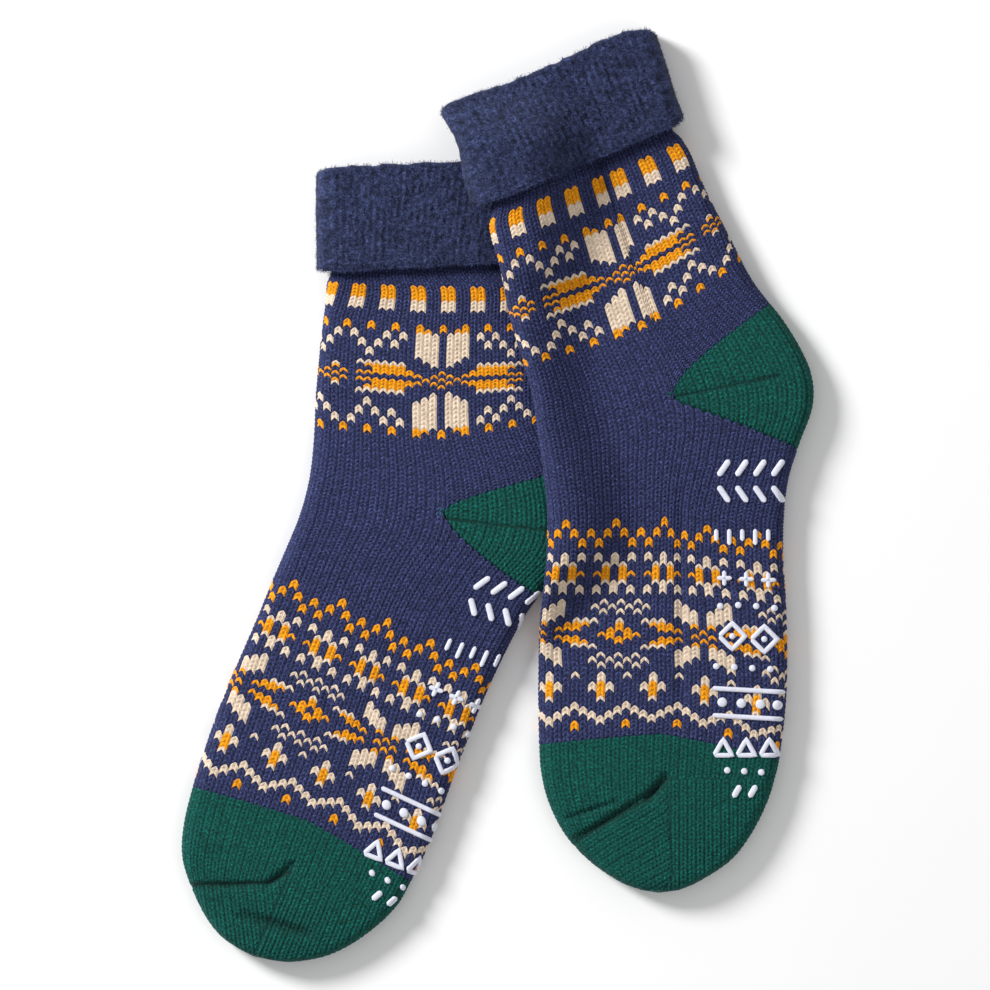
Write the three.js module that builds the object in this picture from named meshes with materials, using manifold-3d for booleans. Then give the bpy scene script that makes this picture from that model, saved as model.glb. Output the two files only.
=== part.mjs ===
// A pair of thick knitted house socks, lying flat on a surface with the right sock over the left one.
// Millimetres, +Z up, the surface at z = 0. Seen from above, +X is right and +Y runs towards the cuffs.
// Each sock is a hollow tube of cloth, flattened so that its two layers lie on each other, with a cuff
// turned down over the leg, a heel pocket let into the sole edge and a toe pocket that closes the tube.
import * as THREE from "three";
import { mergeVertices } from "three/addons/utils/BufferGeometryUtils.js";
import Module from "manifold-3d";

const wasm = await Module();
wasm.setup();

// Cloth
const LAYER_GAP = 1.4; // between the two layers of a flat sock, at its folded edges
const CROWN = 1.2; // how far the upper layer stands up along the middle
const FOOT_THICKNESS = 11.0; // of the flat foot at its folded edges, as in the section tables
const SEAM_GAP = 0.3; // between two pieces that are knitted or sewn together

// Turned-down cuff
const CUFF_WALL = 4.0;
const CUFF_CLEARANCE = 0.3; // from the leg that it lies over
const CUFF_ROUND = 1.2; // rounding of its lower edge
// The round of its fold, from the inside of the leg outwards: how far down a station is, as a share of the
// cuff's wall, and how far in or out it is, as a share of the leg's wall (inwards) or of the cuff's reach.
const CUFF_FOLD = table(["down", "inwards", "outwards"], [
  [1.0, 1.0, 0.0],
  [0.4, 1.0, 0.0],
  [0.1, 0.6, 0.0],
  [0.0, 0.0, 0.0],
  [0.1, 0.0, 0.6],
  [0.5, 0.0, 0.9],
]);

// How finely the solids are divided
const FLAT_STEPS = 9; // across the upper layer and the underside
const INSTEP_BIAS = 1.4; // above 1, those steps are closer together at the instep, where a sock may be raised
const FOLD_STEPS = 5; // round each folded edge
const RINGS_PER_ROW = 2; // rings of points for each row of the section tables
const RINGS_IN_CUFF = 5; // rings between the cuff's fold and its lower edge
const EDGE_STEPS_PER_ROW = 4; // points of the left sock's sole edge for each row
const CREASE_SIDES = 8; // of the tool that presses a crease, round its length
const CREASE_RINGS = 6; // along its length
const PRISM_HEIGHT = 200; // of the prisms that part a sock into its pieces, taller than both socks

// The heights of the right sock where it rides over the left one
const CUFF_STACK = 18.2; // top of the left cuff, where the right sock crosses it
const LEG_STACK = 13.0; // top of the left leg, heel and foot
const STACK_BLEND = 20; // length over which one height goes over into the other
const RAMP_OUT = 24; // how far past the left sock's edge the right one comes down to the surface
const RAMP_IN = 6; // how far inside that edge it is fully raised
const RAMP_ABOVE = 32; // how far it comes down beyond the left cuff's fold

// From the frame of the tables to the middle of the pair's box
const PAIR_SHIFT = { x: 0.391, y: 0.839 };

// Sections of a flat sock, from the cuff's fold to the toe. A row is a straight line across the sock: the
// point on its instep edge, the point on its sole edge, the height of its underside and its thickness.
const SECTION_COLUMNS = ["instepX", "instepY", "soleX", "soleY", "underside", "thickness"];
const RIGHT_SECTIONS = table(SECTION_COLUMNS, [
  [-21.5, 163.5, 61.5, 194.0, 4.3, 7.8],
  [-0.5, 125.5, 74.0, 156.0, 4.3, 7.8],
  [-3.5, 110.5, 80.5, 143.5, 1.2, 10.2],
  [1.0, 93.5, 87.0, 128.0, 0.0, 11.0],
  [5.0, 73.5, 96.5, 109.5, 0.0, 11.0],
  [11.0, 53.5, 107.0, 89.5, 0.0, 11.0],
  [14.5, 40.0, 120.5, 72.0, 0.0, 11.4],
  [16.0, 29.5, 130.5, 53.5, 0.0, 11.8],
  [17.5, 19.5, 132.0, 38.0, 0.0, 11.8],
  [19.0, 8.5, 126.0, 20.5, 0.0, 11.6],
  [20.5, -6.5, 121.0, 3.0, 0.0, 11.2],
  [20.0, -27.5, 119.5, -22.5, 0.0, 11.0],
  [17.5, -52.5, 121.0, -50.5, 0.0, 11.0],
  [16.8, -82.0, 121.0, -82.0, 0.0, 11.0],
  [17.2, -105.0, 118.5, -107.0, 0.0, 11.0],
  [18.2, -117.5, 116.5, -117.5, 0.0, 11.0],
  [21.5, -130.0, 112.5, -130.0, 0.0, 11.0],
  [28.3, -143.0, 105.5, -143.5, 0.0, 11.0],
  [38.5, -154.0, 97.0, -154.0, 0.0, 11.0],
  [51.0, -162.5, 84.0, -162.5, 0.0, 10.8],
  [60.0, -166.0, 76.0, -166.0, 2.0, 7.0],
]);
const LEFT_SECTIONS = table(SECTION_COLUMNS, [
  [-72.5, 137.5, 13.0, 140.5, 4.3, 7.8],
  [-72.0, 95.0, 5.0, 99.0, 4.3, 7.8],
  [-72.5, 82.0, 13.5, 88.0, 1.2, 10.2],
  [-74.5, 65.0, 16.0, 72.0, 0.0, 11.0],
  [-76.5, 44.0, 18.0, 51.0, 0.0, 11.0],
  [-77.5, 23.0, 23.5, 28.5, 0.0, 11.0],
  [-79.0, 9.5, 31.5, 9.0, 0.0, 11.4],
  [-81.0, -0.5, 35.5, -12.0, 0.0, 11.8],
  [-84.0, -10.0, 32.0, -26.5, 0.0, 11.8],
  [-88.5, -21.0, 18.5, -40.5, 0.0, 11.6],
  [-94.5, -35.0, 8.0, -56.0, 0.0, 11.2],
  [-102.5, -54.5, -6.0, -85.0, 0.0, 11.0],
  [-114.5, -82.0, -19.0, -118.5, 0.0, 11.0],
  [-123.5, -107.0, -29.0, -146.0, 0.0, 11.0],
  [-128.5, -123.0, -36.5, -161.5, 0.0, 11.0],
  [-132.0, -137.5, -42.0, -171.5, 0.0, 11.0],
  [-133.0, -150.0, -50.0, -180.0, 0.0, 11.0],
  [-130.5, -161.0, -61.5, -188.5, 0.0, 11.0],
  [-124.0, -175.5, -73.5, -194.0, 0.0, 11.0],
  [-117.0, -185.0, -87.0, -196.2, 0.0, 10.8],
  [-109.5, -190.5, -95.0, -195.5, 2.0, 7.0],
]);

// The tip of each toe, just past its last section.
const RIGHT_TOE = { x: 67.5, y: -167.2 };
const LEFT_TOE = { x: -103.0, y: -193.9 };

// Heel pockets: a wedge in the plan, from its point inside the sock to well past the sole edge. The pocket
// is drawn back along the middle of the wedge, which leaves a seam along both of its sides.
const POINT_COLUMNS = ["x", "y"];
const RIGHT_HEEL = {
  outline: table(POINT_COLUMNS, [
    [73.5, 41.0],
    [77.0, 51.5],
    [97.5, 69.5],
    [112.0, 80.5],
    [128.0, 92.0],
    [160.0, 60.0],
    [145.0, 12.5],
    [125.5, 19.0],
    [76.0, 38.0],
  ]),
  back: { x: 0.6, y: 0.1 },
};
const LEFT_HEEL = {
  outline: table(POINT_COLUMNS, [
    [-23.0, -6.5],
    [-16.5, -3.0],
    [-5.0, 3.0],
    [6.5, 7.5],
    [18.5, 10.0],
    [50.0, 16.0],
    [60.0, -30.0],
    [24.0, -50.5],
    [16.5, -42.5],
    [-17.0, -15.5],
    [-22.5, -10.5],
  ]),
  back: { x: 0.6, y: -0.1 },
};

// Toe pockets: the line where each begins, from past the instep edge to past the sole edge.
const TOE_REACH = 80; // how far the cut that parts the toe runs beyond that line
const RIGHT_TOE_LINE = {
  points: table(POINT_COLUMNS, [
    [8.0, -105.5],
    [17.5, -104.5],
    [38.0, -102.5],
    [59.5, -101.0],
    [78.5, -102.0],
    [100.0, -108.0],
    [117.0, -112.0],
    [128.0, -114.0],
  ]),
  down: { x: 0.0, y: -1.0 },
};
const LEFT_TOE_LINE = {
  points: table(POINT_COLUMNS, [
    [-140.0, -119.5],
    [-128.5, -122.5],
    [-108.5, -127.5],
    [-90.5, -133.5],
    [-71.0, -142.0],
    [-55.5, -149.5],
    [-36.5, -162.0],
    [-26.0, -169.0],
  ]),
  down: { x: -0.38, y: -0.925 },
};

// The largest creases of the upper layers: soft troughs with pointed ends, from one point to the other.
const CREASE_COLUMNS = ["fromX", "fromY", "toX", "toY", "width", "depth"];
const RIGHT_TOE_CREASES = table(CREASE_COLUMNS, [
  [73.0, -117.5, 30.0, -145.5, 3.6, 1.6],
  [48.5, -129.0, 26.5, -137.0, 2.6, 0.9],
]);
const RIGHT_BODY_CREASES = table(CREASE_COLUMNS, [
  [73.0, -6.0, 73.0, -92.0, 4.5, 0.7],
  [41.0, 133.0, 51.5, 119.0, 4.5, 0.8],
]);
const LEFT_TOE_CREASES = table(CREASE_COLUMNS, [
  [-84.5, -155.0, -103.0, -165.5, 3.6, 1.5],
  [-96.0, -163.5, -133.0, -164.5, 3.2, 1.3],
  [-109.0, -176.0, -75.0, -184.5, 7.0, 1.3],
]);
const LEFT_BODY_CREASES = table(CREASE_COLUMNS, [
  [-46.5, -66.0, -63.0, -112.0, 4.5, 0.6],
  [-66.0, -70.0, -78.0, -104.0, 4.5, 0.5],
]);

const NAVY_KNIT = { color: 0x2f3d66, roughness: 0.95, metalness: 0 };
const NAVY_PILE = { color: 0x34446f, roughness: 1.0, metalness: 0 };
const GREEN_KNIT = { color: 0x0d5040, roughness: 0.95, metalness: 0 };

// A table's rows as objects, one value for each named column.
function table(columns, rows) {
  return rows.map((row) => Object.fromEntries(columns.map((name, i) => [name, row[i]])));
}

// A value of the section table between its rows: a Catmull-Rom curve through the rows, at row number t.
function curved(rows, name, t) {
  const last = rows.length - 1;
  const i = Math.min(Math.floor(t), last - 1);
  const f = t - i;
  const p1 = rows[i][name];
  const p2 = rows[i + 1][name];
  const p0 = i > 0 ? rows[i - 1][name] : 2 * p1 - p2;
  const p3 = i + 2 <= last ? rows[i + 2][name] : 2 * p2 - p1;
  const slope1 = (p2 - p0) / 2;
  const slope2 = (p3 - p1) / 2;
  const a = 2 * p1 - 2 * p2 + slope1 + slope2;
  const b = -3 * p1 + 3 * p2 - 2 * slope1 - slope2;
  return ((a * f + b) * f + slope1) * f + p1;
}

// The section at row number t: its middle, its direction across the sock, its half width and its heights.
function sectionAt(rows, t) {
  const [instepX, instepY, soleX, soleY] = SECTION_COLUMNS.slice(0, 4).map((name) => curved(rows, name, t));
  const width = Math.hypot(soleX - instepX, soleY - instepY);
  const halfThickness = curved(rows, "thickness", t) / 2;
  return {
    x: (instepX + soleX) / 2,
    y: (instepY + soleY) / 2,
    acrossX: (soleX - instepX) / width,
    acrossY: (soleY - instepY) / width,
    halfWidth: width / 2,
    halfThickness,
    middle: Math.max(0, curved(rows, "underside", t)) + halfThickness,
  };
}

// The steps of one ring round a flattened tube: a side from -1 at the instep to 1 at the sole, and an angle
// that is -90 degrees on the underside, 0 at the outside of a fold and 90 degrees on the upper layer.
function ringSteps() {
  const steps = [];
  const up = Math.PI / 2;
  const sideAt = (i) => -1 + 2 * (i / FLAT_STEPS) ** INSTEP_BIAS;
  for (let i = FLAT_STEPS; i > 0; i--) steps.push({ side: sideAt(i), angle: -up });
  for (let i = 0; i < FOLD_STEPS; i++) steps.push({ side: -1, angle: -up + (2 * up * i) / FOLD_STEPS });
  for (let i = 0; i < FLAT_STEPS; i++) steps.push({ side: sideAt(i), angle: up });
  for (let i = 0; i < FOLD_STEPS; i++) steps.push({ side: 1, angle: up - (2 * up * i) / FOLD_STEPS });
  return steps;
}
const RING = ringSteps();

// One ring of points, at a distance outside the section's own outline.
function ringAt(section, offset, lift) {
  const { halfWidth, halfThickness } = section;
  const radius = halfThickness + offset;
  return RING.map(({ side, angle }) => {
    const across = side * (halfWidth - halfThickness) + Math.sign(side) * Math.cos(angle) * radius;
    const x = section.x + section.acrossX * across;
    const y = section.y + section.acrossY * across;
    const upward = Math.sin(angle);
    const crown = CROWN * Math.max(0, upward) * Math.max(0, 1 - (across / halfWidth) ** 2);
    return new THREE.Vector3(x, y, section.middle + upward * radius + crown + lift(x, y));
  });
}

// A closed solid through rings of points. A ring list with two tips is closed by a fan at each end, and one
// without tips runs back into its own first ring.
function solidThroughRings(rings, tips) {
  const n = rings[0].length;
  const points = rings.flat();
  const faces = [];
  const bands = tips ? rings.length - 1 : rings.length;
  for (let i = 0; i < bands; i++) {
    const here = i * n;
    const next = ((i + 1) % rings.length) * n;
    for (let j = 0; j < n; j++) {
      const k = (j + 1) % n;
      const [a, b, c, d] = [here + j, next + j, next + k, here + k];
      const acIsShorter = points[a].distanceTo(points[c]) < points[b].distanceTo(points[d]);
      faces.push(...(acIsShorter ? [a, b, c, a, c, d] : [a, b, d, b, c, d]));
    }
  }
  if (tips) {
    const [first, last] = [points.length, points.length + 1];
    const end = (rings.length - 1) * n;
    points.push(tips[0], tips[1]);
    for (let j = 0; j < n; j++) {
      const k = (j + 1) % n;
      faces.push(first, j, k, last, end + k, end + j);
    }
  }
  return new wasm.Manifold(
    new wasm.Mesh({
      numProp: 3,
      vertProperties: new Float32Array(points.flatMap((p) => p.toArray())),
      triVerts: new Uint32Array(faces),
    }),
  );
}

// A three.js geometry, closed, as a solid for a cut.
function solidOf(geometry) {
  geometry.deleteAttribute("normal");
  geometry.deleteAttribute("uv");
  const merged = mergeVertices(geometry, 1e-4);
  return new wasm.Manifold(
    new wasm.Mesh({
      numProp: 3,
      vertProperties: merged.attributes.position.array,
      triVerts: new Uint32Array(merged.index.array),
    }),
  );
}

// An upright prism over an outline in the plan, taller than both socks together.
function prism(outline, shift = { x: 0, y: 0 }) {
  const shape = new THREE.Shape(outline.map((p) => new THREE.Vector2(p.x + shift.x, p.y + shift.y)));
  const geometry = new THREE.ExtrudeGeometry(shape, { depth: PRISM_HEIGHT, bevelEnabled: false });
  return solidOf(geometry.translate(0, 0, -PRISM_HEIGHT / 2));
}

// The long round tool that presses one crease: an ellipsoid centred on the surface of the upper layer.
function creaseTool(crease, surface) {
  const across = new THREE.Vector2(crease.toX - crease.fromX, crease.toY - crease.fromY);
  const x = (crease.fromX + crease.toX) / 2;
  const y = (crease.fromY + crease.toY) / 2;
  const geometry = new THREE.SphereGeometry(1, CREASE_SIDES, CREASE_RINGS)
    .rotateZ(Math.PI / 2)
    .scale(across.length() / 2, crease.width / 2, crease.depth)
    .rotateZ(across.angle())
    .translate(x, y, surface(x, y));
  return solidOf(geometry);
}

function smooth(value) {
  const f = Math.min(1, Math.max(0, value));
  return f * f * (3 - 2 * f);
}

// The left sock's sole edge from its cuff to its toe, and the height by which the right sock is raised at a
// point to ride over it.
const leftFold = LEFT_SECTIONS[0];
const leftCuffEdge = LEFT_SECTIONS[1];
const leftSoleEdge = [];
for (let i = 2 * EDGE_STEPS_PER_ROW; i <= (LEFT_SECTIONS.length - 1) * EDGE_STEPS_PER_ROW; i++) {
  const t = i / EDGE_STEPS_PER_ROW;
  leftSoleEdge.push({ x: curved(LEFT_SECTIONS, "soleX", t), y: curved(LEFT_SECTIONS, "soleY", t) });
}

function rideOver(x, y) {
  let edge = leftSoleEdge[0].x;
  for (let i = 1; i < leftSoleEdge.length; i++) {
    const above = leftSoleEdge[i - 1];
    const below = leftSoleEdge[i];
    if (y < above.y) edge = above.x + Math.min(1, (above.y - y) / (above.y - below.y)) * (below.x - above.x);
  }
  const cuffReach = CUFF_WALL + CUFF_CLEARANCE;
  const cuffShare = smooth(0.5 + (y - leftCuffEdge.soleY + STACK_BLEND / 2) / STACK_BLEND);
  edge += cuffShare * (leftFold.soleX + cuffReach - edge);
  const top = LEG_STACK + cuffShare * (CUFF_STACK - LEG_STACK);
  const side = smooth((edge + RAMP_OUT - x) / (RAMP_OUT + RAMP_IN));
  const end = smooth((leftFold.soleY + cuffReach + RAMP_ABOVE - y) / RAMP_ABOVE);
  return top * side * end;
}

function onSurface() {
  return 0;
}

// How far the cuff hangs down from its fold, along the instep edge.
function cuffDrop(rows) {
  return Math.hypot(rows[0].instepX - rows[1].instepX, rows[0].instepY - rows[1].instepY);
}

// The rings that the leg and the inside of the cuff share, as distances down from the fold.
function sharedLevels(rows) {
  const drop = cuffDrop(rows);
  const levels = [CUFF_WALL + SEAM_GAP];
  for (let i = 1; i < RINGS_IN_CUFF; i++) levels.push((drop * i) / RINGS_IN_CUFF);
  levels.push(drop - CUFF_ROUND);
  return levels;
}

// The whole sock without its cuff, as one closed tube: up the inside from the toe, over the edge under the
// cuff's fold, and down the outside to the toe.
function sockTube(rows, toe, lift) {
  const last = rows.length - 1;
  const stops = sharedLevels(rows).map((down) => down / cuffDrop(rows));
  for (let i = RINGS_PER_ROW; i <= last * RINGS_PER_ROW; i++) stops.push(i / RINGS_PER_ROW);
  const wallAt = (section) => section.halfThickness - LAYER_GAP / 2;
  const insideStops = [stops[0]];
  for (let t = 0.5; t < last; t += t < 1 ? 0.5 : 1) insideStops.push(t);
  const inside = insideStops
    .reverse()
    .map((t) => sectionAt(rows, t))
    .map((section) => ringAt(section, -wallAt(section), lift));
  const outside = stops.map((t) => ringAt(sectionAt(rows, t), 0, lift));
  const end = sectionAt(rows, last - 1);
  const innerTip = new THREE.Vector3(end.x, end.y, end.middle + lift(end.x, end.y));
  const tip = new THREE.Vector3(toe.x, toe.y, sectionAt(rows, last).middle + lift(toe.x, toe.y));
  return solidThroughRings([...inside, ...outside], [innerTip, tip]);
}

// The cuff: the leg's cloth turned outwards at the fold and brought down over the leg. Its profile is a list
// of stations, each at a distance down from the fold and a distance outside the leg.
function cuff(rows, lift) {
  const drop = cuffDrop(rows);
  const legWall = rows[0].thickness / 2 - LAYER_GAP / 2;
  const outer = CUFF_CLEARANCE + CUFF_WALL;
  const inner = CUFF_CLEARANCE;
  const levels = sharedLevels(rows);
  const profile = [
    { down: drop, out: inner + CUFF_ROUND },
    ...levels.toReversed().map((down) => ({ down, out: inner })),
    { down: CUFF_WALL, out: inner },
    ...CUFF_FOLD.map(({ down, inwards, outwards }) => ({
      down: CUFF_WALL * down,
      out: outer * outwards - legWall * inwards,
    })),
    ...levels.map((down) => ({ down, out: outer })),
    { down: drop, out: outer - CUFF_ROUND },
  ];
  return solidThroughRings(profile.map(({ down, out }) => ringAt(sectionAt(rows, down / drop), out, lift)));
}

// The outline of the plan beyond a toe line.
function toeOutline(line) {
  const { points, down } = line;
  const ends = [points[points.length - 1], points[0]];
  return [...points, ...ends.map((p) => ({ x: p.x + down.x * TOE_REACH, y: p.y + down.y * TOE_REACH }))];
}

function pressCreases(solid, creases, surface) {
  return creases.reduce((pressed, crease) => pressed.subtract(creaseTool(crease, surface)), solid);
}

function mesh(name, solid, finish) {
  const { vertProperties, triVerts } = solid.getMesh();
  const geometry = new THREE.BufferGeometry();
  geometry.setAttribute("position", new THREE.BufferAttribute(vertProperties, 3));
  geometry.setIndex(new THREE.BufferAttribute(triVerts, 1));
  geometry.computeVertexNormals();
  const made = new THREE.Mesh(geometry, new THREE.MeshStandardMaterial(finish));
  made.name = name;
  return made;
}

// One sock: its tube, parted into leg and foot, heel pocket and toe pocket, and its cuff.
function sock(name, shape) {
  const { sections, toe, heel, toeLine, lift, bodyCreases, toeCreases } = shape;
  const tube = sockTube(sections, toe, lift);
  const surface = (x, y) => FOOT_THICKNESS + CROWN + lift(x, y);
  const toeCut = toeOutline(toeLine);
  const seam = { x: toeLine.down.x * SEAM_GAP, y: toeLine.down.y * SEAM_GAP };
  const body = tube.subtract(prism(heel.outline)).subtract(prism(toeCut));
  const heelPocket = tube.intersect(prism(heel.outline, heel.back));
  const toePocket = tube.intersect(prism(toeCut, seam));
  const group = new THREE.Group();
  group.name = name;
  group.add(
    mesh(name + "_cuff", cuff(sections, lift), NAVY_PILE),
    mesh(name + "_leg_and_foot", pressCreases(body, bodyCreases, surface), NAVY_KNIT),
    mesh(name + "_heel", heelPocket, GREEN_KNIT),
    mesh(name + "_toe", pressCreases(toePocket, toeCreases, surface), GREEN_KNIT),
  );
  return group;
}

// The pair stands on the middle of its own box.
const pair = new THREE.Group();
pair.name = "pair_of_house_socks";
pair.position.set(PAIR_SHIFT.x, PAIR_SHIFT.y, 0);
pair.add(
  sock("left", {
    sections: LEFT_SECTIONS,
    toe: LEFT_TOE,
    heel: LEFT_HEEL,
    toeLine: LEFT_TOE_LINE,
    lift: onSurface,
    bodyCreases: LEFT_BODY_CREASES,
    toeCreases: LEFT_TOE_CREASES,
  }),
  sock("right", {
    sections: RIGHT_SECTIONS,
    toe: RIGHT_TOE,
    heel: RIGHT_HEEL,
    toeLine: RIGHT_TOE_LINE,
    lift: rideOver,
    bodyCreases: RIGHT_BODY_CREASES,
    toeCreases: RIGHT_TOE_CREASES,
  }),
);

export default pair;
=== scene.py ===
# A pair of thick knitted house socks, lying flat with the right sock over the left one: stitches, coloured
# patterns, heel and toe pockets, brushed cuffs and a raised grip print, laid over the solids of the model.
# The tables are in millimetres in the plan, as in the solids.
import bpy
import copy
import math
import numpy as np
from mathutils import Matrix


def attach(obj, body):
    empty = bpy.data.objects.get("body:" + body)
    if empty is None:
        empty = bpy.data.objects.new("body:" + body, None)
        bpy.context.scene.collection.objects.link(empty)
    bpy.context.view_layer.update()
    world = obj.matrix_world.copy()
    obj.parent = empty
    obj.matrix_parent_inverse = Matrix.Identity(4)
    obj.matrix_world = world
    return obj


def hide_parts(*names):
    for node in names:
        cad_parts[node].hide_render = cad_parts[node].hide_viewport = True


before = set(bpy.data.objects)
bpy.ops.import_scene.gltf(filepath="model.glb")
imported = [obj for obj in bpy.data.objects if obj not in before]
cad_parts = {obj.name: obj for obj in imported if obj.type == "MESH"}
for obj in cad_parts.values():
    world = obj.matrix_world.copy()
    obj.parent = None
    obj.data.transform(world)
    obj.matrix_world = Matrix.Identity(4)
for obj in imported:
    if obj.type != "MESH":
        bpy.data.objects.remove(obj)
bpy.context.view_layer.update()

MM = 0.001
PAIR_SHIFT = np.array([0.391, 0.839, 0.0])
IMAGE_SIZE = 990
MM_PER_PIXEL = 0.42
PIXEL_ORIGIN = (498.5, 495.0)  # the pixel that is the middle of the tables' plan
CAMERA_HEIGHT = 3.0
PLANE_HEIGHT = 0.008  # the height at which a pixel has its full size
FLOOR_REACH = 3.0

# Cloth
CROWN = 1.2
SEAM_TUCK = 0.6  # how far an edge that goes under its neighbour lies below it
CUFF_REACH = 4.3
WALES = 60
HALF_WALES = 15.0
TOP_WALE = 16  # the wale at the middle of the upper layer
FINE_STEPS = 6  # columns of a wale on the upper layer
COARSE_STEPS = 2
SUB_ROWS = 4  # rows of a course
CHEVRON = 0.8  # how far a stitch's legs fall from its point, in courses
CHEVRON_POWER = 1.25
RELIEF = 0.8
RELIEF_FLOOR = -0.45
UNDER_RELIEF = 0.2
UNDER_FLOOR = -0.25
SIDE_END = 1.06  # the relief turns shallow here, past the folded edge
SIDE_BLEND = 0.08
STITCH_UNEVEN = 0.12
STITCH_TONE = (0.9, 0.2)  # a stitch's least brightness and how much more it may have
POCKET_TONE = (0.92, 0.16)
LOWEST = 0.2
TOE_CAP = 4.0  # the stations past the last row over which the toe closes
TOE_TIP = 3.99  # where the cloth ends, just short of a point
LEG_START, LEG_END = -18, 44  # courses
FOOT_START, FOOT_END = -25, 47
FINE_FROM, FINE_TO = -3, 33  # wales with fine columns
COARSE_FROM, COARSE_TO = 34, 56

# Heights of the right sock where it rides over the left one
CUFF_STACK = 18.2
LEG_STACK = 13.0
STACK_BLEND = 20
RAMP_OUT = 24
RAMP_IN = 6
RAMP_ABOVE = 32

# The cuff pinches the leg at its lower edge.
PINCH = 2.0
PINCH_END = 49.0
PINCH_LENGTH = 6.0

CREASE_SPREAD = 0.55  # the half width of a crease, as a share of its width

NAVY, ORANGE, CREAM, GREEN = 0, 1, 2, 3

# Sections: instep edge x and y, sole edge x and y, underside, thickness
RIGHT_ROWS = np.array([
    [-21.5, 163.5, 61.5, 194.0, 4.3, 7.8],
    [-0.5, 125.5, 74.0, 156.0, 4.3, 7.8],
    [-3.5, 110.5, 80.5, 143.5, 1.2, 10.2],
    [1.0, 93.5, 87.0, 128.0, 0, 11],
    [5.0, 73.5, 96.5, 109.5, 0, 11],
    [11.0, 53.5, 107.0, 89.5, 0, 11],
    [14.5, 40.0, 120.5, 72.0, 0, 11.4],
    [16.0, 29.5, 130.5, 53.5, 0, 11.8],
    [17.5, 19.5, 132.0, 38.0, 0, 11.8],
    [19.0, 8.5, 126.0, 20.5, 0, 11.6],
    [20.5, -6.5, 121.0, 3.0, 0, 11.2],
    [20.0, -27.5, 119.5, -22.5, 0, 11],
    [17.5, -52.5, 121.0, -50.5, 0, 11],
    [16.8, -82.0, 121.0, -82.0, 0, 11],
    [17.2, -105.0, 118.5, -107.0, 0, 11],
    [18.2, -117.5, 116.5, -117.5, 0, 11],
    [21.5, -130.0, 112.5, -130.0, 0, 11],
    [28.3, -143.0, 105.5, -143.5, 0, 11],
    [38.5, -154.0, 97.0, -154.0, 0, 11],
    [51.0, -162.5, 84.0, -162.5, 0, 10.8],
    [60.0, -166.0, 76.0, -166.0, 2, 7],
])
LEFT_ROWS = np.array([
    [-72.5, 137.5, 13.0, 140.5, 4.3, 7.8],
    [-72.0, 95.0, 5.0, 99.0, 4.3, 7.8],
    [-72.5, 82.0, 13.5, 88.0, 1.2, 10.2],
    [-74.5, 65.0, 16.0, 72.0, 0, 11],
    [-76.5, 44.0, 18.0, 51.0, 0, 11],
    [-77.5, 23.0, 23.5, 28.5, 0, 11],
    [-79.0, 9.5, 31.5, 9.0, 0, 11.4],
    [-81.0, -0.5, 35.5, -12.0, 0, 11.8],
    [-84.0, -10.0, 32.0, -26.5, 0, 11.8],
    [-88.5, -21.0, 18.5, -40.5, 0, 11.6],
    [-94.5, -35.0, 8.0, -56.0, 0, 11.2],
    [-102.5, -54.5, -6.0, -85.0, 0, 11],
    [-114.5, -82.0, -19.0, -118.5, 0, 11],
    [-123.5, -107.0, -29.0, -146.0, 0, 11],
    [-128.5, -123.0, -36.5, -161.5, 0, 11],
    [-132.0, -137.5, -42.0, -171.5, 0, 11],
    [-133.0, -150.0, -50.0, -180.0, 0, 11],
    [-130.5, -161.0, -61.5, -188.5, 0, 11],
    [-124.0, -175.5, -73.5, -194.0, 0, 11],
    [-117.0, -185.0, -87.0, -196.2, 0, 10.8],
    [-109.5, -190.5, -95.0, -195.5, 2, 7],
])


def smooth(value):
    f = np.clip(value, 0.0, 1.0)
    return f * f * (3 - 2 * f)


def curved(rows, t):
    """The section at row number t: a Catmull-Rom curve through the rows."""
    t = np.asarray(t, float)
    last = len(rows) - 1
    i = np.clip(np.floor(t).astype(int), 0, last - 1)
    f = (t - i)[..., None]
    padded = np.vstack([2 * rows[0] - rows[1], rows, 2 * rows[last] - rows[last - 1]])
    p0, p1, p2, p3 = padded[i], padded[i + 1], padded[i + 2], padded[i + 3]
    s1, s2 = (p2 - p0) / 2, (p3 - p1) / 2
    a = 2 * p1 - 2 * p2 + s1 + s2
    b = -3 * p1 + 3 * p2 - 2 * s1 - s2
    return ((a * f + b) * f + s1) * f + p1


def wrapped(g):
    """A place round the tube, from -2 to 2: 0 is the middle of the top, 1 the sole edge, -1 the instep edge
    and 2 the middle of the underside."""
    return (np.asarray(g, float) + 2) % 4 - 2


def folded_place(g):
    """A place of the upper layer, from -1 to 1, over or under which place g lies."""
    g = wrapped(g)
    return np.where(np.abs(g) <= 1, g, np.sign(g) * (2 - np.abs(g)))


def to_plan(pixels):
    """Places in the plan of pixels, a row for each."""
    return (np.asarray(pixels, float) - PIXEL_ORIGIN) * (MM_PER_PIXEL, -MM_PER_PIXEL)


def no_lift(x, y):
    return np.zeros_like(x)


LEFT_EDGE = curved(LEFT_ROWS, np.arange(2, 19.01, 0.25))[:, 2:4][::-1]


def ride_over(x, y):
    """How far the right sock is raised at a point of the plan."""
    edge = np.interp(y, LEFT_EDGE[:, 1], LEFT_EDGE[:, 0])
    cuff_share = smooth(0.5 + (y - LEFT_ROWS[1, 3] + STACK_BLEND / 2) / STACK_BLEND)
    edge = edge + cuff_share * (LEFT_ROWS[0, 2] + CUFF_REACH - edge)
    top = LEG_STACK + cuff_share * (CUFF_STACK - LEG_STACK)
    side = smooth((edge + RAMP_OUT - x) / (RAMP_OUT + RAMP_IN))
    end = smooth((LEFT_ROWS[0, 3] + CUFF_REACH + RAMP_ABOVE - y) / RAMP_ABOVE)
    return top * side * end


def table(rows):
    return np.array(rows, float)


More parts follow.
